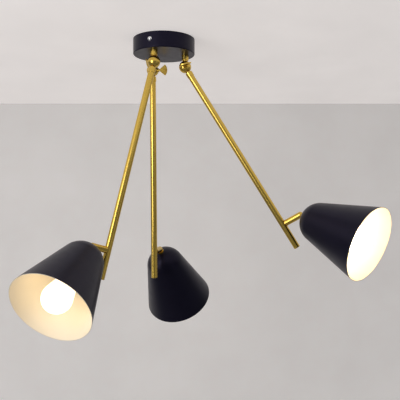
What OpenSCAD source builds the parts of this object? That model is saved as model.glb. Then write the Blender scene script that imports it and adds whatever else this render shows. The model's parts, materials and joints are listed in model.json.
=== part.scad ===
// Ceiling light: a round canopy carries three brass arms, each with a knuckle, a wing screw and a spun shade.
// Millimetres, +Z up, origin at the centre of the canopy's rim, on the ceiling.

/* [Canopy] */
// Outer diameter of the canopy
canopy_d = 120; // [114:1:150]
// Height of the canopy below the ceiling
canopy_h = 30; // [28:1:50]
// Sheet thickness of the canopy
canopy_wall = 1.2; // [0.8:0.1:1.8]
// Outside radius of the canopy's lower edge
canopy_edge_r = 2; // [2:0.5:5]
// Distance of the arms' hangers from the canopy's edge
arm_inset = 18.5; // [17:0.5:22]
// Direction of the right arm's hanger, counted from +X
arm_circle_turn = 6.6; // [-20:0.1:20]

/* [Ceiling bracket] */
// Width of the bracket strip
bracket_w = 22; // [18:1:26]
// Sheet thickness of the bracket
bracket_t = 2; // [1.5:0.1:3]
// Depth of the bracket's turned-down ends
bracket_tab_h = 20; // [19:0.5:24]
// Distance between the two ceiling screw holes
ceiling_hole_spacing = 70; // [60:1:80]
// Diameter of a ceiling screw hole
ceiling_hole_d = 5; // [4:0.5:6]
// Diameter of the hole for the supply cable
cable_hole_d = 10; // [8:0.5:12]
// Direction of the bracket and of its side screws, counted from +X
bracket_turn = 247; // [235:1:260]
// Height of the side screws below the ceiling
side_screw_drop = 13.5; // [10:0.5:15]
// Diameter of a side screw's head
side_head_d = 8.6; // [7:0.2:10]
// Thread diameter of the side screws and bracket screws
small_thread_d = 4; // [3:0.5:4.5]

/* [Hanger] */
// Thread diameter of the hanger nipple
nipple_d = 10; // [8:0.5:11]
// Bore of the hanger nipple
nipple_bore = 7; // [4:0.5:7]
// Width of the locknut across its flats
locknut_af = 14; // [13.5:0.5:17]
// Height of the locknut
locknut_h = 3; // [2:0.5:5]
// Outer diameter of the lock washer
washer_d = 18; // [17:0.5:20]
// Thickness of the lock washer
washer_t = 1; // [0.5:0.1:1.5]

/* [Knuckle] */
// Diameter of the knuckle's ball
ball_d = 24; // [22:0.5:28]
// Depth of the ball's centre below the canopy
ball_drop = 22.5; // [22:0.5:30]
// Diameter of the collar above the ball
collar_d = 13.6; // [13:0.1:16]
// Length of the collar above the ball
collar_l = 9.4; // [8:0.1:9.4]
// Diameter of the short necks between the ball and its collars
neck_d = 10; // [8:0.5:11]
// Outer diameter of the ferrule that takes the rod
ferrule_d = 14; // [13.8:0.1:18]
// Distance from the ball's centre to the top of the ferrule
ferrule_top = 13; // [12.8:0.1:16]
// Length of the ferrule
ferrule_l = 9; // [7:0.5:14]
// Thickness of the friction washer between the ball's halves
friction_t = 0.7; // [0.5:0.1:1.2]
// Diameter of the friction washer
friction_d = 20; // [14:0.5:21]

/* [Wing screw] */
// Diameter of the wing screw's shank
shank_d = 4; // [3:0.5:5]
// Radius of the fan-shaped wing
wing_r = 16.5; // [12:0.5:20]
// Half of the wing's opening angle
wing_half_angle = 40; // [25:1:50]
// Thickness of the wing
wing_t = 2.4; // [1.5:0.1:4]
// Distance from the ball's centre to the point of the fan
wing_start = 13.5; // [13.4:0.1:18]

/* [Rod and stem] */
// Outer diameter of the rod
rod_d = 12.5; // [11:0.1:13]
// Wall of the rod tube
rod_wall = 1.2; // [0.8:0.1:1.5]
// Distance from the ball's centre to the rod's lower end
rod_reach = 418; // [250:1:600]
// Height of the end cap that closes the rod
rod_cap_h = 3.5; // [2:0.5:8]
// Distance from the rod's lower end up to the stem
stem_rise = 53.5; // [30:0.5:80]
// Diameter of the stem
stem_d = 12.5; // [11.5:0.1:16]
// Distance from the rod's axis to the middle of the stem's ball end
stem_reach = 40.3; // [34:0.1:70]
// Diameter of the stem's stud in the rod
stud_d = 8; // [6:0.5:8]
// Bore through the stem
stem_bore = 5; // [3:0.5:5]

/* [Shade] */
// Angle between the stem and the shade's axis
shade_angle = 50; // [48:1:60]
// Diameter of the shade at its mouth
mouth_d = 141; // [120:1:160]
// Radius of the shade's domed end
dome_r = 39.3; // [36:0.1:44]
// Length of the shade from its dome to its mouth
shade_l = 146.5; // [144:0.5:180]
// Sheet thickness of the shade
shade_wall = 1; // [0.6:0.1:1.5]
// Thickness of the seat between the stem's ball end and the dome
seat_t = 2.25; // [1.5:0.05:4]
// Diameter of the seat
seat_d = 13; // [11:0.5:16]
// Thread diameter of the nipple through the dome
shade_nipple_d = 8; // [7:0.5:8.5]

/* [Lamp holder and bulb] */
// Diameter of the lamp holder
holder_d = 38; // [36:0.5:42]
// Wall of the lamp holder
holder_wall = 2; // [1.5:0.1:3]
// Diameter of the holder's upper boss
holder_boss_d = 18; // [16:0.5:20]
// Height of the holder's cap
holder_cap_h = 30; // [22:0.5:34]
// Length of the holder's body below its cap
holder_body_l = 34; // [30:0.5:40]
// Diameter of the bulb's screw cap
bulb_cap_d = 26.4; // [25:0.1:27]
// Length of the bulb's screw cap
bulb_cap_l = 27; // [25:0.5:30]
// Diameter of the bulb's globe
globe_d = 50; // [45:0.5:60]
// Distance from the dome's centre to the globe's centre
globe_drop = 84; // [72:0.5:88]
// Thickness of the bulb's glass
glass_t = 1.2; // [0.8:0.1:2]

/* [Fits] */
// Radial clearance of a part that turns in a hole
run_fit = 0.06; // [0.02:0.01:0.1]
// Radial clearance of a part that is fixed in a hole
seat_fit = 0.05; // [0.02:0.01:0.1]
// Gap between two faces that turn on each other
face_gap = 0.1; // [0.05:0.05:0.2]
// Gap between round faces that pass each other
pass_gap = 0.3; // [0.2:0.05:0.5]

/* [Front arm] */
// Direction in which the front arm tilts, counted from +X
front_swing = 210.2; // [195:0.1:225]
// Tilt of the front arm from straight down
front_tilt = 14.5; // [5:0.1:30]
// Turn of the front rod in its ferrule
front_rod_turn = -24.3; // [-40:0.1:0]
// Turn of the front shade about its stem
front_shade_turn = -22.5; // [-40:0.1:0]
// Turn of the front wing screw from level
front_wing_turn = 70; // [0:1:180]

/* [Rear arm] */
// Direction in which the rear arm tilts, counted from +X
rear_swing = 80; // [65:0.1:95]
// Tilt of the rear arm from straight down
rear_tilt = 2.1; // [0:0.1:20]
// Turn of the rear rod in its ferrule
rear_rod_turn = 2.2; // [-20:0.1:20]
// Turn of the rear shade about its stem
rear_shade_turn = 7.2; // [-20:0.1:20]
// Turn of the rear wing screw from level
rear_wing_turn = 90; // [0:1:180]

/* [Right arm] */
// Direction in which the right arm tilts, counted from +X
right_swing = 3.4; // [-10:0.1:20]
// Tilt of the right arm from straight down
right_tilt = 32; // [20:0.1:45]
// Turn of the right rod in its ferrule
right_rod_turn = 27; // [10:0.1:40]
// Turn of the right shade about its stem
right_shade_turn = 35; // [10:0.1:45]
// Turn of the right wing screw from level
right_wing_turn = 14; // [0:1:180]

/* [Hidden] */
$fn = 96;
far = 1000;
cut = 1;

FRONT = 0;
REAR = 1;
RIGHT = 2;
arms = [FRONT, REAR, RIGHT];
arm_names = ["front", "rear", "right"];
arm_step = 120;
hanger_at = [
    arm_circle_turn + 2 * arm_step,
    arm_circle_turn + arm_step,
    arm_circle_turn
];
swing = [front_swing, rear_swing, right_swing];
tilt = [front_tilt, rear_tilt, right_tilt];
rod_turn = [front_rod_turn, rear_rod_turn, right_rod_turn];
shade_turn = [front_shade_turn, rear_shade_turn, right_shade_turn];
wing_turn = [front_wing_turn, rear_wing_turn, right_wing_turn];

FIXED_PARTS = [
    "canopy", "mounting_bracket", "side_screws", "terminal_block", "clamp_screws", "bracket_screws"
];
ARM_PARTS = [
    "hanger_nipple", "locknut", "lock_washer", "upper_knuckle", "friction_washer", "lower_knuckle",
    "wing_screw", "rod", "rod_cap", "stem", "stem_clip", "shade_nipple", "shade_seat", "shade",
    "holder_cap", "holder_body", "bulb_cap", "bulb_globe"
];
NODES = concat(FIXED_PARTS, [for (i = arms) for (part = ARM_PARTS) str(arm_names[i], "_", part)]);
node = "all";

black = [0.14, 0.13, 0.16];
brass = [0.72, 0.56, 0.22];
zinc = [0.70, 0.71, 0.73];
chrome = [0.88, 0.89, 0.91];
fibre = [0.35, 0.30, 0.26];
cream = [0.93, 0.91, 0.86];
opal = [0.98, 0.97, 0.94];

// Canopy and bracket
canopy_r = canopy_d / 2;
canopy_inner_r = canopy_r - canopy_wall;
arm_circle_r = canopy_r - arm_inset;
canopy_floor = canopy_wall - canopy_h;
bracket_bend_r = 1.5 * bracket_t;
bracket_half = sqrt(pow(canopy_inner_r, 2) - pow(bracket_w / 2, 2)) - seat_fit;
side_head_h = 2.4;
side_hole_slack = 0.25;
bracket_head_d = 6.4;
bracket_head_h = 2.2;

// Terminal block, screwed under the bracket by its ear, beside the cable hole
pole_pitch = 10;
pole_count = 3;
block_base_t = 3;
block_l = 15;
block_ear_l = 7;
block_ear_w = 12;
pole_d = 8.4;
pole_drop = 6;
turret_d = 5.4;
turret_drop = 12;
turret_pitch = 9;
clamp_d = 3;
clamp_l = 4;
wire_hole_d = 3.4;
block_gap = 1;
block_start = cable_hole_d / 2 + block_gap;
block_at = block_start + block_l / 2;
block_w = pole_pitch * pole_count;
bracket_screw_at = block_start + block_l + block_ear_l / 2;

// Hanger and knuckle
ball_r = ball_d / 2;
ball_z = -canopy_h - ball_drop;
nipple_hole_d = nipple_d + 2 * run_fit;
nipple_tail = 2.5;
collar_floor = 1.5;
nipple_sink = collar_l - collar_floor;
half_gap = friction_t / 2 + face_gap / 2;
flat_depth = 1;
flat_at = ball_r - flat_depth;
shoulder_d = 8;
shoulder_h = 2;
shank_sink = 8;
neck_start = ball_r / 2;

// Rod and stem
rod_r = rod_d / 2;
rod_inner_r = rod_r - rod_wall;
socket_floor = 1.5;
rod_top = ferrule_top + socket_floor + face_gap;
rod_bottom = rod_reach - rod_cap_h;
cap_edge_r = 1;
cap_spigot_l = 6;
stem_r = stem_d / 2;
stud_end = -2.5;
clip_at = 0.5;
clip_t = 0.8;
clip_slack = 0.25;
clip_r = rod_inner_r - clip_slack;
groove_depth = 0.6;
groove_r = stud_d / 2 - groove_depth;
clip_gap_angle = 70;

// Shade, measured down its axis from the middle of the stem's ball end
apex_z = -(stem_r + seat_t);
dome_z = apex_z - dome_r;
mouth_z = apex_z - shade_l;
mouth_r = mouth_d / 2;
dome_inner_r = dome_r - shade_wall;
seat_gap = 0.02;
seat_top = 0.75 * stem_r;

// Lamp holder and bulb, on the shade's axis
boss_r = holder_boss_d / 2;
holder_r = holder_d / 2;
holder_z = dome_z + sqrt(pow(dome_inner_r, 2) - pow(boss_r, 2)) - seat_fit;
boss_h = 4;
shoulder_drop = boss_h + holder_r - boss_r;
thread_l = 12;
body_top = holder_z - holder_cap_h;
body_spigot_l = 6;
body_floor_t = 6;
body_floor = body_top - body_floor_t;
body_mouth = body_top - holder_body_l;
shell_r = bulb_cap_d / 2;
shell_slack = 0.3;
contact_r = 4.5;
contact_h = 1.5;
cap_cone_h = 5;
cap_sheet = 0.9;
shell_end = body_floor - bulb_cap_l;
globe_r = globe_d / 2;
globe_z = dome_z - globe_drop;
glass_neck_r = shell_r - cap_sheet - seat_fit;
glass_sink = 14;

// Angle on a circle where a line from the point [x, y] touches it, on the side away from the axis
function touch_angle(r, x, y) = atan2(y, x) - sign(y) * acos(r / norm([x, y]));
function on_circle(r, a) = [r * cos(a), r * sin(a)];

// Places: each moves its children into the frame of one body of an arm
module at_hanger(i) {
    rotate([0, 0, hanger_at[i]]) translate([arm_circle_r, 0, 0]) rotate([0, 0, swing[i] - hanger_at[i]]) children();
}

module at_ball(i) {
    at_hanger(i) translate([0, 0, ball_z]) children();
}

module at_arm(i) {
    at_ball(i) rotate([0, -tilt[i], 0]) children();
}

module at_rod(i) {
    at_arm(i) rotate([0, 0, -rod_turn[i]]) children();
}

module at_stem(i) {
    at_rod(i) translate([0, 0, stem_rise - rod_reach]) rotate([-shade_turn[i], 0, 0]) children();
}

module at_shade(i) {
    at_stem(i) translate([stem_reach, 0, 0]) rotate([0, shade_angle - 90, 0]) children();
}

module at_bracket() {
    rotate([0, 0, bracket_turn]) children();
}

// Shapes that repeat
module along_x(l, r) {
    rotate([0, 90, 0]) cylinder(h = l, r = r);
}

module along_y(l, r) {
    rotate([-90, 0, 0]) cylinder(h = l, r = r);
}

module down(l, r) {
    translate([0, 0, -l]) cylinder(h = l, r = r);
}

// Half section of a cup that stands open at the top, with a rounded lower corner
module cup_half(r, h, edge) {
    translate([0, edge - h]) square([r, h - edge]);
    translate([0, -h]) square([r - edge, h]);
    translate([r - edge, edge - h]) intersection() {
        circle(r = edge);
        translate([0, -edge]) square(edge);
    }
}

module cup_wall(r, h, edge, wall) {
    difference() {
        cup_half(r, h, edge);
        cup_half(r - wall, h - wall, max(edge - wall, wall / 4));
    }
}

// Half section of a ball that runs tangent into a straight flare; end lists the points from the flare's end to the axis
module flared_half(r, end) {
    a = touch_angle(r, end[0].x, end[0].y);
    up = -sign(end[0].y);
    corner = [end[0].x + (end[0].y - up * r) * tan(a), up * r];
    difference() {
        polygon(concat([[0, up * r], corner], end));
        difference() {
            polygon([[0, 0], on_circle(4 * r, a), [4 * r, up * 4 * r], [0, up * 4 * r]]);
            circle(r = r);
        }
    }
}

// Pan head screw that points up, with the underside of its head at zero
module pan_screw(thread, length, head, head_h) {
    slot_w = head / 8;
    dome = (pow(head / 2, 2) + pow(head_h, 2)) / (2 * head_h);
    cylinder(h = length, d = thread);
    difference() {
        intersection() {
            translate([0, 0, dome - head_h]) sphere(r = dome);
            down(head_h, head / 2);
        }
        translate([0, 0, -head_h]) cube([head, slot_w, head_h], center = true);
    }
}

// One half of the knuckle's ball, on the side of -Y for side -1 and of +Y for side 1
module half_ball(side, r, gap) {
    intersection() {
        sphere(r = r);
        translate([-r, side > 0 ? gap : -gap - r, -r]) cube([2 * r, r, 2 * r]);
    }
}

// The space that the other half of the ball and its running gap take
module ball_room(side) {
    half_ball(side, ball_r + pass_gap, -half_gap);
}

// Canopy and what hangs it
module canopy() {
    color(black)
    difference() {
        rotate_extrude() cup_wall(canopy_r, canopy_h, canopy_edge_r, canopy_wall);
        for (i = arms)
            at_hanger(i) translate([0, 0, -canopy_h - cut]) cylinder(h = canopy_wall + 2 * cut, d = nipple_hole_d);
        at_bracket() translate([-canopy_d, 0, -side_screw_drop])
            along_x(2 * canopy_d, small_thread_d / 2 + side_hole_slack);
    }
}

module mounting_bracket() {
    color(zinc)
    at_bracket()
    difference() {
        translate([0, bracket_w / 2, 0]) rotate([90, 0, 0]) linear_extrude(bracket_w) {
            for (side = [0, 1])
                mirror([side, 0]) mirror([0, 1]) translate([0, bracket_tab_h])
                    cup_wall(bracket_half, bracket_tab_h, bracket_bend_r, bracket_t);
        }
        for (side = [-1, 1]) {
            translate([side * ceiling_hole_spacing / 2, 0, cut]) down(bracket_t + 2 * cut, ceiling_hole_d / 2);
            translate([side * bracket_screw_at, 0, cut]) down(bracket_t + 2 * cut, small_thread_d / 2 + seat_fit);
        }
        translate([0, 0, cut]) down(bracket_t + 2 * cut, cable_hole_d / 2);
        translate([-canopy_d, 0, -side_screw_drop]) along_x(2 * canopy_d, small_thread_d / 2 + seat_fit);
    }
}

module side_screws() {
    length = canopy_r - bracket_half + 2 * bracket_t;
    color(chrome)
    at_bracket()
    for (side = [0, 1])
        rotate([0, 0, 180 * side]) translate([canopy_r + face_gap, 0, -side_screw_drop]) rotate([0, -90, 0])
            pan_screw(small_thread_d, length, side_head_d, side_head_h);
}

module at_pole(k) {
    translate([block_at, (k - (pole_count - 1) / 2) * pole_pitch, -bracket_t]) children();
}

module terminal_block() {
    color(cream)
    at_bracket()
    difference() {
        union() {
            translate([block_at - block_l / 2, -block_w / 2, -bracket_t - block_base_t])
                cube([block_l, block_w, block_base_t]);
            translate([block_at, -block_ear_w / 2, -bracket_t - block_base_t])
                cube([block_l / 2 + block_ear_l, block_ear_w, block_base_t]);
            for (k = [0 : pole_count - 1]) {
                at_pole(k) translate([-block_l / 2, 0, -pole_drop]) along_x(block_l, pole_d / 2);
                at_pole(k) translate([-block_l / 2, -pole_d / 2, -pole_drop]) cube([block_l, pole_d, pole_drop]);
                for (side = [-1, 1])
                    at_pole(k) translate([side * turret_pitch / 2, 0, 0]) down(turret_drop, turret_d / 2);
            }
        }
        for (k = [0 : pole_count - 1]) {
            at_pole(k) translate([-block_l, 0, -pole_drop]) along_x(2 * block_l, wire_hole_d / 2);
            for (side = [-1, 1])
                at_pole(k) translate([side * turret_pitch / 2, 0, -turret_drop - cut])
                    cylinder(h = turret_drop + cut - pole_drop, d = clamp_d + 2 * seat_fit);
        }
        translate([bracket_screw_at, 0, 0]) down(far, small_thread_d / 2 + seat_fit);
    }
}

module clamp_screws() {
    color(brass)
    at_bracket()
    for (k = [0 : pole_count - 1])
        for (side = [-1, 1])
            at_pole(k) translate([side * turret_pitch / 2, 0, -turret_drop + clamp_d / 2])
                cylinder(h = clamp_l, d = clamp_d);
}

module bracket_screws() {
    length = bracket_t + block_base_t;
    color(zinc)
    at_bracket() {
        translate([bracket_screw_at, 0, -bracket_t - block_base_t])
            pan_screw(small_thread_d, length, bracket_head_d, bracket_head_h);
        translate([-bracket_screw_at, 0, -bracket_t])
            pan_screw(small_thread_d, bracket_t, bracket_head_d, bracket_head_h);
    }
}

// Hanger and knuckle of one arm
module hanger_nipple(i) {
    top = canopy_floor + face_gap + washer_t + locknut_h + nipple_tail;
    bottom = -canopy_h - face_gap - nipple_sink;
    color(brass)
    at_hanger(i) translate([0, 0, bottom])
    difference() {
        cylinder(h = top - bottom, d = nipple_d);
        translate([0, 0, -cut]) cylinder(h = top - bottom + 2 * cut, d = nipple_bore);
    }
}

module locknut(i) {
    color(zinc)
    at_hanger(i) translate([0, 0, canopy_floor + face_gap + washer_t])
    difference() {
        cylinder(h = locknut_h, d = locknut_af / cos(30), $fn = 6);
        translate([0, 0, -cut]) cylinder(h = locknut_h + 2 * cut, d = nipple_d + 2 * seat_fit);
    }
}

module lock_washer(i) {
    color(zinc)
    at_hanger(i) translate([0, 0, canopy_floor + face_gap])
    difference() {
        cylinder(h = washer_t, d = washer_d);
        translate([0, 0, -cut]) cylinder(h = washer_t + 2 * cut, d = nipple_d + 2 * seat_fit);
    }
}

module upper_knuckle(i) {
    collar_top = ball_drop - face_gap;
    color(brass)
    at_ball(i)
    difference() {
        union() {
            half_ball(-1, ball_r, half_gap);
            difference() {
                union() {
                    translate([0, 0, neck_start]) cylinder(h = collar_top - neck_start, d = neck_d);
                    translate([0, 0, collar_top - collar_l]) cylinder(h = collar_l, d = collar_d);
                }
                ball_room(1);
            }
        }
        translate([0, 0, collar_top - nipple_sink - face_gap])
            cylinder(h = nipple_sink + cut, d = nipple_d + 2 * seat_fit);
        translate([0, cut - ball_r, 0]) along_y(ball_d, shank_d / 2 + run_fit);
        translate([0, -flat_at - ball_r, 0]) along_y(ball_r, ball_r);
    }
}

module friction_washer(i) {
    color(fibre)
    at_ball(i) translate([0, -half_gap, 0])
    difference() {
        along_y(friction_t, friction_d / 2);
        translate([0, -cut, 0]) along_y(friction_t + 2 * cut, shank_d / 2 + run_fit);
    }
}

module lower_knuckle(i) {
    color(brass)
    at_arm(i)
    difference() {
        union() {
            half_ball(1, ball_r, half_gap);
            difference() {
                union() {
                    translate([0, 0, -neck_start]) down(ferrule_top - neck_start, neck_d / 2);
                    translate([0, 0, -ferrule_top]) down(ferrule_l, ferrule_d / 2);
                }
                ball_room(-1);
            }
        }
        translate([0, 0, -ferrule_top - socket_floor]) down(ferrule_l, rod_r + run_fit);
        along_y(shank_sink + face_gap, shank_d / 2 + run_fit);
    }
}

module wing_screw(i) {
    wing_neck = 0.15 * wing_r;
    color(brass)
    at_ball(i) rotate([0, -wing_turn[i], 0]) {
        translate([0, -wing_start - wing_neck, 0]) along_y(wing_start + wing_neck + shank_sink, shank_d / 2);
        translate([0, -flat_at - face_gap - shoulder_h, 0]) along_y(shoulder_h, shoulder_d / 2);
        translate([0, -wing_start, 0]) rotate([0, 0, -90]) linear_extrude(wing_t, center = true) {
            intersection() {
                circle(r = wing_r);
                translate([wing_neck / 2, 0]) polygon([
                    [0, -shank_d / 2],
                    [far * cos(wing_half_angle), -shank_d / 2 - far * sin(wing_half_angle)],
                    [far * cos(wing_half_angle), shank_d / 2 + far * sin(wing_half_angle)],
                    [0, shank_d / 2]
                ]);
            }
        }
    }
}

// Rod of one arm
module rod(i) {
    color(brass)
    at_rod(i)
    difference() {
        translate([0, 0, -rod_top]) down(rod_bottom - rod_top, rod_r);
        translate([0, 0, cut - rod_top]) down(rod_reach, rod_inner_r);
        translate([0, 0, stem_rise - rod_reach]) along_x(rod_d, stud_d / 2 + run_fit);
    }
}

module rod_cap(i) {
    color(brass)
    at_rod(i) translate([0, 0, -rod_bottom]) {
        rotate_extrude() cup_half(rod_r, rod_cap_h, cap_edge_r);
        cylinder(h = cap_spigot_l, r = rod_inner_r - seat_fit);
    }
}

// Stem, shade and lamp of one arm
module stem(i) {
    color(brass)
    difference() {
        at_stem(i) {
            translate([stud_end, 0, 0]) along_x(rod_d - stud_end, stud_d / 2);
            translate([rod_r + pass_gap, 0, 0]) along_x(stem_reach - rod_r - pass_gap, stem_r);
            translate([stem_reach, 0, 0]) sphere(r = stem_r);
        }
        at_stem(i) translate([stud_end - cut, 0, 0]) along_x(stem_reach + cut - stud_end, stem_bore / 2);
        at_stem(i) translate([clip_at, 0, 0]) difference() {
            along_x(clip_t, stud_d);
            translate([-cut, 0, 0]) along_x(clip_t + 2 * cut, groove_r);
        }
        at_shade(i) down(stem_d, shade_nipple_d / 2 + seat_fit);
    }
}

module stem_clip(i) {
    color(zinc)
    at_stem(i) translate([clip_at + seat_fit, 0, 0])
    difference() {
        along_x(clip_t - 2 * seat_fit, clip_r);
        translate([-cut, 0, 0]) along_x(clip_t + 2 * cut, groove_r + seat_fit);
        translate([-cut, 0, 0]) rotate([90, 0, 90]) linear_extrude(clip_t + 2 * cut) polygon([
            [0, 0],
            on_circle(2 * clip_r, 90 - clip_gap_angle / 2),
            on_circle(2 * clip_r, 90 + clip_gap_angle / 2)
        ]);
    }
}

module shade_nipple(i) {
    top = -face_gap;
    bottom = holder_z - thread_l;
    color(zinc)
    at_shade(i) translate([0, 0, top])
    difference() {
        down(top - bottom, shade_nipple_d / 2);
        translate([0, 0, cut]) down(top - bottom + 2 * cut, stem_bore / 2);
    }
}

module shade_seat(i) {
    color(brass)
    at_shade(i)
    difference() {
        translate([0, 0, -seat_top]) down(seat_d, seat_d / 2);
        sphere(r = stem_r + seat_gap);
        translate([0, 0, dome_z]) sphere(r = dome_r + seat_gap);
        down(far, shade_nipple_d / 2 + seat_fit);
    }
}

module shade(i) {
    end_y = mouth_z - dome_z;
    flare = touch_angle(dome_r, mouth_r, end_y);
    color(black)
    at_shade(i) translate([0, 0, dome_z])
    rotate_extrude() difference() {
        flared_half(dome_r, [[mouth_r, end_y], [0, end_y]]);
        flared_half(dome_inner_r, [[mouth_r - shade_wall / cos(flare), end_y], [0, end_y]]);
        square([shade_nipple_d / 2 + seat_fit, far]);
    }
}

module holder_cap(i) {
    bore_r = shade_nipple_d / 2 + seat_fit;
    color(cream)
    at_shade(i) translate([0, 0, holder_z])
    rotate_extrude() polygon([
        [bore_r, 0],
        [boss_r, 0],
        [boss_r, -boss_h],
        [holder_r, -shoulder_drop],
        [holder_r, -holder_cap_h],
        [holder_r - holder_wall, -holder_cap_h],
        [holder_r - holder_wall, -shoulder_drop - holder_wall],
        [boss_r, -thread_l],
        [bore_r, -thread_l]
    ]);
}

module holder_body(i) {
    spigot_r = holder_r - holder_wall - seat_fit;
    bore_r = shell_r + shell_slack;
    color(cream)
    at_shade(i)
    rotate_extrude() polygon([
        [0, body_floor],
        [bore_r, body_floor],
        [bore_r, body_mouth],
        [bore_r + holder_wall, body_mouth],
        [holder_r, body_floor],
        [holder_r, body_top],
        [spigot_r, body_top],
        [spigot_r, body_top + body_spigot_l],
        [spigot_r - holder_wall, body_top + body_spigot_l],
        [spigot_r - holder_wall, body_floor + holder_wall],
        [0, body_floor + holder_wall]
    ]);
}

module bulb_cap(i) {
    inner_r = shell_r - cap_sheet;
    color(zinc)
    at_shade(i) translate([0, 0, body_floor])
    rotate_extrude() polygon([
        [0, 0],
        [contact_r, 0],
        [contact_r, -contact_h],
        [shell_r, -contact_h - cap_cone_h],
        [shell_r, -bulb_cap_l],
        [inner_r, -bulb_cap_l],
        [inner_r, -contact_h - cap_cone_h],
        [0, -contact_h - cap_cone_h]
    ]);
}

module bulb_globe(i) {
    neck_y = shell_end - globe_z;
    neck_top = neck_y + glass_sink;
    bore_r = glass_neck_r - glass_t;
    color(opal)
    at_shade(i) translate([0, 0, globe_z])
    rotate_extrude() difference() {
        flared_half(globe_r, [[glass_neck_r, neck_y], [glass_neck_r, neck_top], [0, neck_top]]);
        flared_half(globe_r - glass_t, [[bore_r, neck_y], [bore_r, neck_top + cut], [0, neck_top + cut]]);
    }
}

function shown(name) = node == "all" || node == name;
function arm_shown(i, part) = shown(str(arm_names[i], "_", part));

if (shown("canopy")) canopy();
if (shown("mounting_bracket")) mounting_bracket();
if (shown("side_screws")) side_screws();
if (shown("terminal_block")) terminal_block();
if (shown("clamp_screws")) clamp_screws();
if (shown("bracket_screws")) bracket_screws();
for (i = arms) {
    if (arm_shown(i, "hanger_nipple")) hanger_nipple(i);
    if (arm_shown(i, "locknut")) locknut(i);
    if (arm_shown(i, "lock_washer")) lock_washer(i);
    if (arm_shown(i, "upper_knuckle")) upper_knuckle(i);
    if (arm_shown(i, "friction_washer")) friction_washer(i);
    if (arm_shown(i, "lower_knuckle")) lower_knuckle(i);
    if (arm_shown(i, "wing_screw")) wing_screw(i);
    if (arm_shown(i, "rod")) rod(i);
    if (arm_shown(i, "rod_cap")) rod_cap(i);
    if (arm_shown(i, "stem")) stem(i);
    if (arm_shown(i, "stem_clip")) stem_clip(i);
    if (arm_shown(i, "shade_nipple")) shade_nipple(i);
    if (arm_shown(i, "shade_seat")) shade_seat(i);
    if (arm_shown(i, "shade")) shade(i);
    if (arm_shown(i, "holder_cap")) holder_cap(i);
    if (arm_shown(i, "holder_body")) holder_body(i);
    if (arm_shown(i, "bulb_cap")) bulb_cap(i);
    if (arm_shown(i, "bulb_globe")) bulb_globe(i);
}
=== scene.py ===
"""Looks of a ceiling light: black canopy and shades, brass arms, glowing bulbs and the room corner."""

import json
import math

import bmesh
import bpy
from bpy.props import FloatProperty, FloatVectorProperty, PointerProperty
from mathutils import Matrix, Vector


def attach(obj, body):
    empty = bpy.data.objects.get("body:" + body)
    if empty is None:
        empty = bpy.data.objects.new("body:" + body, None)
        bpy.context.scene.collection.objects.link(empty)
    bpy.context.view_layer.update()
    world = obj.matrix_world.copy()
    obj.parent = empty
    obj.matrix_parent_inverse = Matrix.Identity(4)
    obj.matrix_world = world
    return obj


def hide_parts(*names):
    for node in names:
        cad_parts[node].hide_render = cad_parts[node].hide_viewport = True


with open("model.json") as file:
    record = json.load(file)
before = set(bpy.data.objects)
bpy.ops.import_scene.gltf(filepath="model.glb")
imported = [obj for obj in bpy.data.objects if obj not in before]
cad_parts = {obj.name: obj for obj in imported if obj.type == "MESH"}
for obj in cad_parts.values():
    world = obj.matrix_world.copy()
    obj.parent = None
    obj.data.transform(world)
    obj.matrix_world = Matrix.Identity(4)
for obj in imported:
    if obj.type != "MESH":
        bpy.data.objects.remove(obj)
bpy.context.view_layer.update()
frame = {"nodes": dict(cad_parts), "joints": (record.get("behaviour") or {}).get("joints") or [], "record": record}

bl_info = {
    "name": "Three-Arm Ceiling Light",
    "version": (1, 0, 0),
    "blender": (4, 5, 0),
    "location": "View3D > Sidebar > Ceiling Light",
    "description": "Dresses the ceiling light's solids with finished shades, fittings and materials",
    "category": "Object",
}

ARMS = ("front", "rear", "right")
JOINTS = {joint["name"]: joint for joint in frame["joints"]}
QUARTER_TURN = math.radians(90)
UP = Vector((0, 0, 1))

# Edges that stay sharp, faces that count as one flat face, points that count as one
SHARP_ANGLE = math.radians(35)
FLAT_ANGLE = math.radians(0.5)
MERGE = 1e-6

# Steps of a rounded edge, the part of its range that a noise mostly stays in, the bulbs' attribute
EDGE_SEGMENTS = 3
NOISE_LOW = 0.3
NOISE_HIGH = 0.7
GLOW = "glow"


# Places on the arms, worked out from the joints at rest

def joint_axis(name):
    return Vector(JOINTS[name]["axis"]).normalized()


def joint_place(name):
    return Vector(JOINTS[name]["pos_m"])


def placed(origin, x, z):
    """A frame at origin with the given X and Z directions."""
    y = z.cross(x)
    return Matrix.Translation(origin) @ Matrix((x, y, z)).transposed().to_4x4()


def rod_frame(arm):
    """At the knuckle's ball, Z up the rod, with the stem on the side of +X."""
    return placed(
        joint_place(f"{arm}_rod_turn"),
        joint_axis(f"{arm}_shade_turn"),
        -joint_axis(f"{arm}_rod_turn"),
    )


def stem_frame(arm):
    """On the rod's axis, X out along the stem. The shade hangs straight with its joint in mid-range."""
    joint = JOINTS[f"{arm}_shade_turn"]
    turn = math.radians(sum(joint["range_deg"]) / 2)
    place = rod_frame(arm)
    place.translation = joint_place(joint["name"])
    return place @ Matrix.Rotation(-turn, 4, "X")


def shade_frame(arm, sizes):
    """At the middle of the stem's ball end, -Z down the shade's axis to its mouth."""
    return (
        stem_frame(arm)
        @ Matrix.Translation((sizes.stem_reach, 0, 0))
        @ Matrix.Rotation(sizes.shade_angle - QUARTER_TURN, 4, "Y")
    )


# Shapes

def arc(x, z, radius, start, end, count):
    """Points of a circle's arc in the XZ plane, from the start angle to the end angle in degrees."""
    angles = [math.radians(start + (end - start) * i / count) for i in range(count + 1)]
    return [(x + radius * math.cos(a), z + radius * math.sin(a)) for a in angles]


def touch_angle(radius, x, z):
    """The angle, in degrees, at which a line from the point touches the outer side of a circle."""
    swing = math.acos(radius / math.hypot(x, z))
    return math.degrees(math.atan2(z, x) - math.copysign(swing, z))


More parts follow.
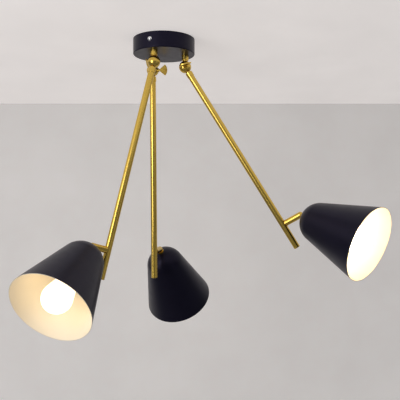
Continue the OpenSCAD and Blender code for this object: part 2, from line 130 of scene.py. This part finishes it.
def spun(profile, steps, closed=False):
    """A full turn of a profile of (radius, height) points about Z."""
    shape = bmesh.new()
    points = [shape.verts.new((r, 0, z)) for r, z in profile]
    ends = zip(points, points[1:] + points[:1]) if closed else zip(points, points[1:])
    edges = [shape.edges.new(pair) for pair in ends]
    bmesh.ops.spin(
        shape, geom=points + edges, cent=(0, 0, 0), axis=UP, angle=math.tau, steps=steps, use_merge=True
    )
    bmesh.ops.remove_doubles(shape, verts=shape.verts, dist=MERGE)
    bmesh.ops.recalc_face_normals(shape, faces=shape.faces)
    return shape


def softened(node, width):
    """A copy of a solid with its sharp edges rounded."""
    shape = bmesh.new()
    shape.from_mesh(frame["nodes"][node].data)
    bmesh.ops.remove_doubles(shape, verts=shape.verts, dist=MERGE)
    bmesh.ops.dissolve_limit(
        shape,
        angle_limit=FLAT_ANGLE,
        verts=shape.verts,
        edges=shape.edges,
        use_dissolve_boundaries=False,
    )
    sharp = [e for e in shape.edges if e.is_manifold and e.calc_face_angle() > SHARP_ANGLE]
    bmesh.ops.bevel(
        shape,
        geom=sharp,
        offset=width,
        offset_type="OFFSET",
        affect="EDGES",
        segments=EDGE_SEGMENTS,
        profile=0.5,
        material=-1,
        clamp_overlap=True,
    )
    bmesh.ops.remove_doubles(shape, verts=shape.verts, dist=MERGE)
    return shape


def add_piece(name, shape, place, materials, body, node):
    """A finished mesh that stands for a solid and moves with its body."""
    mesh = bpy.data.meshes.new(name)
    shape.transform(place)
    shape.to_mesh(mesh)
    shape.free()
    for material in materials:
        mesh.materials.append(material)
    mesh.shade_smooth()
    mesh.set_sharp_from_angle(angle=SHARP_ANGLE)
    piece = bpy.data.objects.new(name, mesh)
    bpy.context.scene.collection.objects.link(piece)
    piece.modifiers.new("even_normals", "WEIGHTED_NORMAL").keep_sharp = True
    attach(piece, body)
    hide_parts(node)


# Finishes

class Finish:
    """A material's node tree, built around its Principled shader."""

    def __init__(self, name):
        self.material = bpy.data.materials.new(name)
        self.material.use_nodes = True
        self.tree = self.material.node_tree
        self.shader = self.tree.nodes["Principled BSDF"]
        self.place = self.add("ShaderNodeTexCoord").outputs["Object"]

    def add(self, kind, **inputs):
        node = self.tree.nodes.new(kind)
        for name, value in inputs.items():
            self.put(node, name.replace("_", " "), value)
        return node

    def put(self, node, name, value):
        socket = node.inputs[name]
        if isinstance(value, bpy.types.NodeSocket):
            self.tree.links.new(value, socket)
        else:
            socket.default_value = value

    def set(self, **inputs):
        for name, value in inputs.items():
            self.put(self.shader, name.replace("_", " "), value)

    def noise(self, scale, detail, roughness):
        node = self.add(
            "ShaderNodeTexNoise", Vector=self.place, Scale=scale, Detail=detail, Roughness=roughness
        )
        return node.outputs["Fac"]

    def between(self, noise, low, high):
        """A number that goes from low to high with a noise."""
        node = self.add(
            "ShaderNodeMapRange",
            Value=noise, From_Min=NOISE_LOW, From_Max=NOISE_HIGH, To_Min=low, To_Max=high,
        )
        return node.outputs["Result"]

    def blend(self, noise, low, high):
        """A colour that goes from low to high with a noise."""
        node = self.add("ShaderNodeValToRGB", Fac=noise)
        first, last = node.color_ramp.elements
        first.position = NOISE_LOW
        last.position = NOISE_HIGH
        first.color = (*low, 1)
        last.color = (*high, 1)
        return node.outputs["Color"]

    def attribute(self, name):
        node = self.add("ShaderNodeAttribute")
        node.attribute_name = name
        return node.outputs["Fac"]

    def combine(self, operation, first, second):
        """Two values put together by a Math node's operation."""
        node = self.add("ShaderNodeMath")
        node.operation = operation
        self.put(node, 0, first)
        self.put(node, 1, second)
        return node.outputs["Value"]

    def bump(self, height, strength, distance):
        node = self.add("ShaderNodeBump", Strength=strength, Distance=distance, Height=height)
        self.set(Normal=node.outputs["Normal"])


def scaled(colour, factor):
    return tuple(min(1.0, channel * factor) for channel in colour)


def mottled(name, colour, tones, cloud, gloss, roughness, grain=None, relief=None, **shader):
    """A finish with a slight mottle in its colour and gloss, and a fine raised grain.

    Tones are factors on the colour, for its darkest and lightest places. Cloud is the colour's noise.
    Each noise is a scale, a detail and a roughness. Relief is the grain's strength and depth.
    """
    finish = Finish(name)
    darkest, lightest = (scaled(colour, tone) for tone in tones)
    finish.set(
        Base_Color=finish.blend(finish.noise(*cloud), darkest, lightest),
        Roughness=finish.between(finish.noise(*gloss), *roughness),
        **shader,
    )
    if grain:
        finish.bump(finish.noise(*grain), *relief)
    return finish


def satin_black(colours):
    return mottled(
        "satin_black_paint",
        colours.black,
        tones=(0.85, 1.2),
        cloud=(18, 4, 0.6),
        gloss=(55, 4, 0.6),
        roughness=(0.32, 0.4),
        grain=(1400, 2, 0.5),
        relief=(0.08, 0.0002),
        Specular_IOR_Level=0.26,
        Specular_Tint=(*colours.black_sheen, 1),
    )


def shade_white(colours):
    return mottled(
        "shade_inside_white",
        colours.shade_inside,
        tones=(0.97, 1),
        cloud=(22, 3, 0.5),
        gloss=(70, 3, 0.5),
        roughness=(0.42, 0.55),
        grain=(1200, 2, 0.5),
        relief=(0.06, 0.0002),
    )


def polished_brass(colours):
    return mottled(
        "polished_brass",
        colours.brass,
        tones=(0.94, 1),
        cloud=(35, 4, 0.55),
        gloss=(160, 3, 0.6),
        roughness=(0.23, 0.27),
        grain=(2200, 2, 0.5),
        relief=(0.004, 0.0001),
        Metallic=1.0,
    )


def plated_steel(colours):
    return mottled(
        "zinc_plated_steel",
        colours.zinc,
        tones=(0.85, 1),
        cloud=(60, 4, 0.6),
        gloss=(240, 3, 0.6),
        roughness=(0.3, 0.45),
        grain=(1800, 2, 0.5),
        relief=(0.05, 0.0001),
        Metallic=1.0,
    )


def bright_chrome(colours):
    return mottled(
        "bright_chrome",
        colours.chrome,
        tones=(0.94, 1),
        cloud=(40, 3, 0.5),
        gloss=(200, 3, 0.5),
        roughness=(0.08, 0.16),
        grain=(1500, 2, 0.5),
        relief=(0.02, 0.0001),
        Metallic=1.0,
    )


def pressed_fibre(colours):
    return mottled(
        "pressed_fibre",
        colours.fibre,
        tones=(0.7, 1.3),
        cloud=(300, 5, 0.7),
        gloss=(500, 4, 0.6),
        roughness=(0.7, 0.9),
        grain=(1600, 4, 0.6),
        relief=(0.25, 0.0002),
    )


def cream_plastic(colours):
    return mottled(
        "cream_moulded_plastic",
        colours.cream,
        tones=(0.94, 1),
        cloud=(50, 3, 0.5),
        gloss=(180, 3, 0.5),
        roughness=(0.38, 0.5),
        grain=(900, 2, 0.5),
        relief=(0.05, 0.0001),
    )


def glowing_glass(colours, strength):
    finish = mottled(
        "glowing_opal_glass",
        colours.opal,
        tones=(0.97, 1),
        cloud=(30, 2, 0.5),
        gloss=(90, 2, 0.5),
        roughness=(0.12, 0.2),
        Emission_Color=(*colours.glow, 1),
    )
    finish.set(Emission_Strength=finish.combine("MULTIPLY", finish.attribute(GLOW), strength))
    return finish


# Finishes by the record's slots, and the materials made so far
FINISHES = {
    "black_paint": satin_black,
    "brass": polished_brass,
    "zinc_steel": plated_steel,
    "chrome": bright_chrome,
    "fibre": pressed_fibre,
    "cream_plastic": cream_plastic,
}
MADE = {}


def finish_for(slot):
    """The material of one of the record's slots, made once."""
    if slot not in MADE:
        MADE[slot] = FINISHES[slot](bpy.context.scene.light_colours).material
    return MADE[slot]


# Settings that a user would change

class LightSizes(bpy.types.PropertyGroup):
    """Sizes of the modelled pieces."""

    stem_reach: FloatProperty(
        name="Stem Reach", description="Rod's axis to the middle of the stem's ball end",
        default=0.0403, unit="LENGTH",
    )
    shade_angle: FloatProperty(
        name="Shade Angle", description="Angle between the stem and the shade's axis",
        default=math.radians(50), subtype="ANGLE",
    )
    dome_drop: FloatProperty(
        name="Dome Drop", description="Middle of the stem's ball end to the top of the dome",
        default=0.0085, unit="LENGTH",
    )
    dome_radius: FloatProperty(
        name="Dome Radius", description="Radius of the shade's domed end", default=0.0393, unit="LENGTH",
    )
    mouth_radius: FloatProperty(
        name="Mouth Radius", description="Radius of the shade at its mouth", default=0.0705, unit="LENGTH",
    )
    shade_length: FloatProperty(
        name="Shade Length", description="Top of the dome to the mouth", default=0.1465, unit="LENGTH",
    )
    shade_wall: FloatProperty(
        name="Shade Wall", description="Sheet thickness of the shade", default=0.001, unit="LENGTH",
    )
    nipple_hole: FloatProperty(
        name="Nipple Hole", description="Radius of the hole in the dome", default=0.00405, unit="LENGTH",
    )
    globe_radius: FloatProperty(
        name="Globe Radius", description="Radius of the bulb's globe", default=0.025, unit="LENGTH",
    )
    globe_drop: FloatProperty(
        name="Globe Drop", description="Dome's centre to the globe's centre", default=0.084, unit="LENGTH",
    )
    glass_neck: FloatProperty(
        name="Glass Neck", description="Radius of the bulb's glass neck", default=0.01225, unit="LENGTH",
    )
    glass_neck_height: FloatProperty(
        name="Glass Neck Height", description="Globe's centre to the screw cap",
        default=0.0582, unit="LENGTH",
    )
    glass_sink: FloatProperty(
        name="Glass Sink", description="Depth of the glass neck in the screw cap",
        default=0.014, unit="LENGTH",
    )
    edge_round: FloatProperty(
        name="Edge Round", description="Rounding of the edges of the brass and the canopy",
        default=0.00035, unit="LENGTH",
    )


class LightColours(bpy.types.PropertyGroup):
    """Colours of the finishes."""

    black: FloatVectorProperty(
        name="Black", description="Satin paint of the canopy and the shades",
        default=(0.0045, 0.004, 0.0125), subtype="COLOR",
    )
    black_sheen: FloatVectorProperty(
        name="Black Sheen", description="Tint of the satin paint's highlights",
        default=(0.7, 0.65, 1.0), subtype="COLOR",
    )
    shade_inside: FloatVectorProperty(
        name="Shade Inside", description="Paint inside the shades",
        default=(0.92, 0.86, 0.74), subtype="COLOR",
    )
    brass: FloatVectorProperty(
        name="Brass", description="Polished brass", default=(0.72, 0.495, 0.1), subtype="COLOR",
    )
    zinc: FloatVectorProperty(
        name="Zinc", description="Plated steel", default=(0.6, 0.61, 0.63), subtype="COLOR",
    )
    chrome: FloatVectorProperty(
        name="Chrome", description="Side screws", default=(0.86, 0.87, 0.89), subtype="COLOR",
    )
    fibre: FloatVectorProperty(
        name="Fibre", description="Friction washers", default=(0.16, 0.12, 0.09), subtype="COLOR",
    )
    cream: FloatVectorProperty(
        name="Cream", description="Lamp holders and terminal block",
        default=(0.82, 0.79, 0.71), subtype="COLOR",
    )
    opal: FloatVectorProperty(
        name="Opal", description="Bulb glass", default=(0.95, 0.93, 0.89), subtype="COLOR",
    )
    glow: FloatVectorProperty(
        name="Glow", description="Light of the bulbs", default=(1.0, 0.78, 0.49), subtype="COLOR",
    )
    front_glow: FloatProperty(
        name="Front Glow", description="Strength of the front bulb's light", default=2.3,
    )
    rear_glow: FloatProperty(
        name="Rear Glow", description="Strength of the rear bulb's light", default=2.3,
    )
    right_glow: FloatProperty(
        name="Right Glow", description="Strength of the right bulb's light", default=9.5,
    )


class StageLook(bpy.types.PropertyGroup):
    """The room corner, its light and the camera."""

    ceiling: FloatVectorProperty(
        name="Ceiling", description="Colour of the ceiling", default=(0.78, 0.74, 0.72), subtype="COLOR",
    )
    wall: FloatVectorProperty(
        name="Wall", description="Colour of the wall", default=(0.72, 0.69, 0.67), subtype="COLOR",
    )
    floor: FloatVectorProperty(
        name="Floor", description="Colour of the floor", default=(0.72, 0.7, 0.68), subtype="COLOR",
    )
    ceiling_lift: FloatProperty(
        name="Ceiling Lift", description="Extra brightness of the ceiling in view", default=0.62,
    )
    wall_lift: FloatProperty(
        name="Wall Lift", description="Extra brightness of the wall in view", default=0.43,
    )
    floor_lift: FloatProperty(
        name="Floor Lift", description="Extra brightness of the floor in view", default=0.05,
    )
    wall_distance: FloatProperty(
        name="Wall Distance", description="From the canopy's middle to the wall",
        default=0.697, unit="LENGTH",
    )
    floor_depth: FloatProperty(
        name="Floor Depth", description="From the ceiling down to the floor", default=2.3, unit="LENGTH",
    )
    room_depth: FloatProperty(
        name="Room Depth", description="How far the ceiling reaches from the wall",
        default=1.7, unit="LENGTH",
    )
    world_light: FloatProperty(
        name="World Light", description="Strength of the even light", default=0.2,
    )
    key_power: FloatProperty(
        name="Key Power", description="Soft light on the left", default=9.5, unit="POWER",
    )
    fill_power: FloatProperty(
        name="Fill Power", description="Soft light on the right", default=0.8, unit="POWER",
    )
    high_power: FloatProperty(
        name="High Power", description="Small soft light under the ceiling", default=0.8, unit="POWER",
    )
    camera_place: FloatVectorProperty(
        name="Camera Place", description="Where the camera stands",
        default=(0.07046, -1.1386, -0.3317), subtype="TRANSLATION",
    )
    camera_pitch: FloatProperty(
        name="Camera Pitch", description="How far the camera looks up", default=0.016, subtype="ANGLE",
    )
    camera_lens: FloatProperty(
        name="Camera Lens", description="Focal length in millimetres", default=52.62, unit="CAMERA",
    )


# Pieces

class LIGHT_OT_carried_solids(bpy.types.Operator):
    """Give each solid that stays in view the finish of its slot"""

    bl_idname = "light.carried_solids"
    bl_label = "Finish Solids"

    def execute(self, context):
        for part in frame["record"]["subparts"]:
            if part["material_slot"] in FINISHES:
                mesh = frame["nodes"][part["node"]].data
                mesh.materials.clear()
                mesh.materials.append(finish_for(part["material_slot"]))
        return {"FINISHED"}


class LIGHT_OT_brass_fittings(bpy.types.Operator):
    """Round the edges of the knuckles, wing screws, rods, rod caps, stems and seats"""

    bl_idname = "light.brass_fittings"
    bl_label = "Make Brass Fittings"

    FITTINGS = {
        "upper_knuckle": "hanger",
        "lower_knuckle": "knuckle",
        "wing_screw": "wing",
        "rod": "arm",
        "rod_cap": "arm",
        "stem": "head",
        "shade_seat": "head",
    }

    def execute(self, context):
        sizes = context.scene.light_sizes
        for arm in ARMS:
            for part, body in self.FITTINGS.items():
                node = f"{arm}_{part}"
                add_piece(
                    f"{node}_turned", softened(node, sizes.edge_round), Matrix(), [finish_for("brass")],
                    f"{arm}_{body}", node,
                )
        return {"FINISHED"}


class LIGHT_OT_canopy(bpy.types.Operator):
    """Round the edges of the canopy"""

    bl_idname = "light.canopy"
    bl_label = "Make Canopy"

    def execute(self, context):
        sizes = context.scene.light_sizes
        add_piece(
            "canopy_pressed", softened("canopy", sizes.edge_round), Matrix(), [finish_for("black_paint")],
            "base", "canopy",
        )
        return {"FINISHED"}


class LIGHT_OT_shades(bpy.types.Operator):
    """Spin the shades, black outside and white inside and on the rim"""

    bl_idname = "light.shades"
    bl_label = "Make Shades"

    # Steps round the axis, along the dome and round the rim
    STEPS = 128
    DOME_STEPS = 24
    RIM_STEPS = 6

    # The white paint's place among the materials, and the slope past which the rim's faces are white
    INSIDE = 1
    RIM_SLOPE = -0.3

    def profile(self, sizes):
        """Down the outside from the nipple hole, round the rim and up the inside, for a turn about Z."""
        mouth = sizes.dome_radius - sizes.shade_length
        inner = sizes.dome_radius - sizes.shade_wall
        rim = sizes.shade_wall / 2
        touch = touch_angle(sizes.dome_radius, sizes.mouth_radius, mouth)
        inner_mouth = sizes.mouth_radius - sizes.shade_wall / math.cos(math.radians(touch))
        hole = math.degrees(math.acos(sizes.nipple_hole / sizes.dome_radius))
        inner_hole = math.degrees(math.acos(sizes.nipple_hole / inner))
        rim_middle = (sizes.mouth_radius + inner_mouth) / 2
        outside = arc(0, 0, sizes.dome_radius, hole, touch, self.DOME_STEPS)
        edge = arc(rim_middle, mouth + rim, rim, touch, -180 - touch, self.RIM_STEPS)
        inside = arc(0, 0, inner, touch, inner_hole, self.DOME_STEPS)
        return outside + edge + inside

    def execute(self, context):
        sizes = context.scene.light_sizes
        drop = sizes.dome_drop + sizes.dome_radius
        paints = [finish_for("black_paint"), shade_white(context.scene.light_colours).material]
        for arm in ARMS:
            shape = spun(self.profile(sizes), self.STEPS, closed=True)
            for face in shape.faces:
                middle = face.calc_center_median()
                axis_point = Vector((0, 0, min(middle.z, 0)))
                if face.normal.z < self.RIM_SLOPE or face.normal.dot(middle - axis_point) < 0:
                    face.material_index = self.INSIDE
            place = shade_frame(arm, sizes) @ Matrix.Translation((0, 0, -drop))
            add_piece(
                f"{arm}_shade_spun", shape, place, paints,
                f"{arm}_head", f"{arm}_shade",
            )
        return {"FINISHED"}


class LIGHT_OT_bulbs(bpy.types.Operator):
    """Spin the bulbs' glass, with a glow that fades from the globe to the screw cap"""

    bl_idname = "light.bulbs"
    bl_label = "Make Bulbs"

    # Steps round the axis and along the globe, and the share of the glow that is lost at the screw cap
    STEPS = 96
    GLOBE_STEPS = 40
    FADE = 0.7

    def glass(self, sizes):
        """A bulb with its globe's centre at the origin and its screw cap above."""
        touch = touch_angle(sizes.globe_radius, sizes.glass_neck, sizes.glass_neck_height)
        top = sizes.glass_neck_height + sizes.glass_sink
        globe = arc(0, 0, sizes.globe_radius, -90, touch, self.GLOBE_STEPS)
        neck = [(sizes.glass_neck, sizes.glass_neck_height), (sizes.glass_neck, top), (0, top)]
        shape = spun(globe + neck, self.STEPS)
        glow = shape.verts.layers.float.new(GLOW)
        for vert in shape.verts:
            rise = min(1, max(0, vert.co.z) / sizes.glass_neck_height)
            vert[glow] = 1 - self.FADE * rise
        return shape

    def execute(self, context):
        sizes = context.scene.light_sizes
        drop = sizes.dome_drop + sizes.dome_radius + sizes.globe_drop
        colours = context.scene.light_colours
        for arm in ARMS:
            glass = glowing_glass(colours, getattr(colours, f"{arm}_glow")).material
            place = shade_frame(arm, sizes) @ Matrix.Translation((0, 0, -drop))
            add_piece(
                f"{arm}_bulb_glass", self.glass(sizes), place, [glass],
                f"{arm}_head", f"{arm}_bulb_globe",
            )
        return {"FINISHED"}


class LIGHT_OT_stage(bpy.types.Operator):
    """Set up the ceiling, wall, floor, light and camera"""

    bl_idname = "light.stage"
    bl_label = "Set Stage"

    # Half the room's width, and the gap that keeps the ceiling off the canopy's back
    HALF_WIDTH = 1.5
    CEILING_GAP = 0.0004

    # The power setting, the width and height, and the place of each soft light, and where all of them aim
    LAMPS = {
        "key_left": ("key_power", (1.0, 1.1), (-1.08, -1.45, -0.45)),
        "fill_right": ("fill_power", (1.0, 1.2), (1.7, -1.0, -0.5)),
        "high_left": ("high_power", (0.22, 0.3), (-0.45, -0.62, -0.1)),
    }
    AIM = Vector((0, 0, -0.3))
    WORLD_COLOUR = (0.95, 0.96, 1.0, 1)
    SENSOR_WIDTH = 36

    def paint(self, name, colour, brightness):
        """Room paint that shows only its front, a little brighter in view than the light on it."""
        finish = mottled(
            name,
            colour,
            tones=(0.965, 1.03),
            cloud=(6, 6, 0.62),
            gloss=(30, 4, 0.6),
            roughness=(0.8, 0.95),
            Specular_IOR_Level=0.1,
        )
        rays = finish.add("ShaderNodeLightPath").outputs
        in_view = rays["Is Camera Ray"]
        for ray in ("Is Glossy Ray", "Is Transmission Ray"):
            in_view = finish.combine("MAXIMUM", in_view, rays[ray])
        finish.set(
            Emission_Color=finish.shader.inputs["Base Color"].links[0].from_socket,
            Emission_Strength=finish.combine("MULTIPLY", in_view, brightness),
        )
        back = finish.add("ShaderNodeNewGeometry").outputs["Backfacing"]
        mix = finish.add("ShaderNodeMixShader", Fac=back)
        finish.put(mix, 1, finish.shader.outputs["BSDF"])
        finish.put(mix, 2, finish.add("ShaderNodeBsdfTransparent").outputs["BSDF"])
        finish.put(finish.tree.nodes["Material Output"], "Surface", mix.outputs["Shader"])
        return finish.material

    def surface(self, name, colour, brightness, place, depth):
        """A plane of the room, as deep as given."""
        shape = bmesh.new()
        bmesh.ops.create_grid(shape, x_segments=1, y_segments=1, size=self.HALF_WIDTH)
        bmesh.ops.scale(shape, vec=(1, depth / (2 * self.HALF_WIDTH), 1), verts=shape.verts)
        mesh = bpy.data.meshes.new(name)
        shape.transform(place)
        shape.to_mesh(mesh)
        shape.free()
        mesh.materials.append(self.paint(f"{name}_paint", colour, brightness))
        plane = bpy.data.objects.new(name, mesh)
        bpy.context.scene.collection.objects.link(plane)

    def room(self, look):
        middle = look.wall_distance - look.room_depth / 2
        face_down = Matrix.Rotation(math.pi, 4, "X")
        upright = Matrix.Rotation(QUARTER_TURN, 4, "X")
        ceiling = Matrix.Translation((0, middle, self.CEILING_GAP)) @ face_down
        wall = Matrix.Translation((0, look.wall_distance, -look.floor_depth / 2)) @ upright
        floor = Matrix.Translation((0, middle, -look.floor_depth))
        self.surface("ceiling", look.ceiling, look.ceiling_lift, ceiling, look.room_depth)
        self.surface("wall", look.wall, look.wall_lift, wall, look.floor_depth)
        self.surface("floor", look.floor, look.floor_lift, floor, look.room_depth)

    def soft_light(self, name, power, size, place):
        lamp = bpy.data.lights.new(name, "AREA")
        lamp.energy = power
        lamp.shape = "RECTANGLE"
        lamp.size, lamp.size_y = size
        holder = bpy.data.objects.new(name, lamp)
        holder.location = place
        holder.rotation_euler = (self.AIM - Vector(place)).to_track_quat("-Z", "Y").to_euler()
        bpy.context.scene.collection.objects.link(holder)

    def even_light(self, scene, strength):
        scene.world = bpy.data.worlds.new("even_light")
        scene.world.use_nodes = True
        background = scene.world.node_tree.nodes["Background"]
        background.inputs["Color"].default_value = self.WORLD_COLOUR
        background.inputs["Strength"].default_value = strength

    def camera(self, scene, look):
        camera = bpy.data.cameras.new("camera")
        camera.lens = look.camera_lens
        camera.sensor_width = self.SENSOR_WIDTH
        stand = bpy.data.objects.new("camera", camera)
        stand.location = look.camera_place
        stand.rotation_euler = (QUARTER_TURN + look.camera_pitch, 0, 0)
        scene.collection.objects.link(stand)
        scene.camera = stand

    def execute(self, context):
        scene = context.scene
        look = scene.light_stage
        self.room(look)
        for name, (power, size, place) in self.LAMPS.items():
            self.soft_light(name, getattr(look, power), size, place)
        self.even_light(scene, look.world_light)
        scene.view_settings.view_transform = "Standard"
        self.camera(scene, look)
        return {"FINISHED"}


class LIGHT_PT_panel(bpy.types.Panel):
    """The light's settings and steps"""

    bl_label = "Ceiling Light"
    bl_space_type = "VIEW_3D"
    bl_region_type = "UI"
    bl_category = "Ceiling Light"

    def draw(self, context):
        scene = context.scene
        for group in (scene.light_sizes, scene.light_colours, scene.light_stage):
            box = self.layout.box()
            for name in group.bl_rna.properties.keys():
                if name not in ("rna_type", "name"):
                    box.prop(group, name)
        for operator in OPERATORS:
            self.layout.operator(operator.bl_idname)


GROUPS = (LightSizes, LightColours, StageLook)
OPERATORS = (
    LIGHT_OT_carried_solids,
    LIGHT_OT_canopy,
    LIGHT_OT_brass_fittings,
    LIGHT_OT_shades,
    LIGHT_OT_bulbs,
    LIGHT_OT_stage,
)
CLASSES = (*GROUPS, *OPERATORS, LIGHT_PT_panel)


def register():
    for cls in CLASSES:
        bpy.utils.register_class(cls)
    bpy.types.Scene.light_sizes = PointerProperty(type=LightSizes)
    bpy.types.Scene.light_colours = PointerProperty(type=LightColours)
    bpy.types.Scene.light_stage = PointerProperty(type=StageLook)


def unregister():
    del bpy.types.Scene.light_stage
    del bpy.types.Scene.light_colours
    del bpy.types.Scene.light_sizes
    for cls in reversed(CLASSES):
        bpy.utils.unregister_class(cls)


def main():
    register()
    bpy.ops.light.carried_solids()
    bpy.ops.light.canopy()
    bpy.ops.light.brass_fittings()
    bpy.ops.light.shades()
    bpy.ops.light.bulbs()
    bpy.ops.light.stage()


if __name__ == "__main__":
    main()
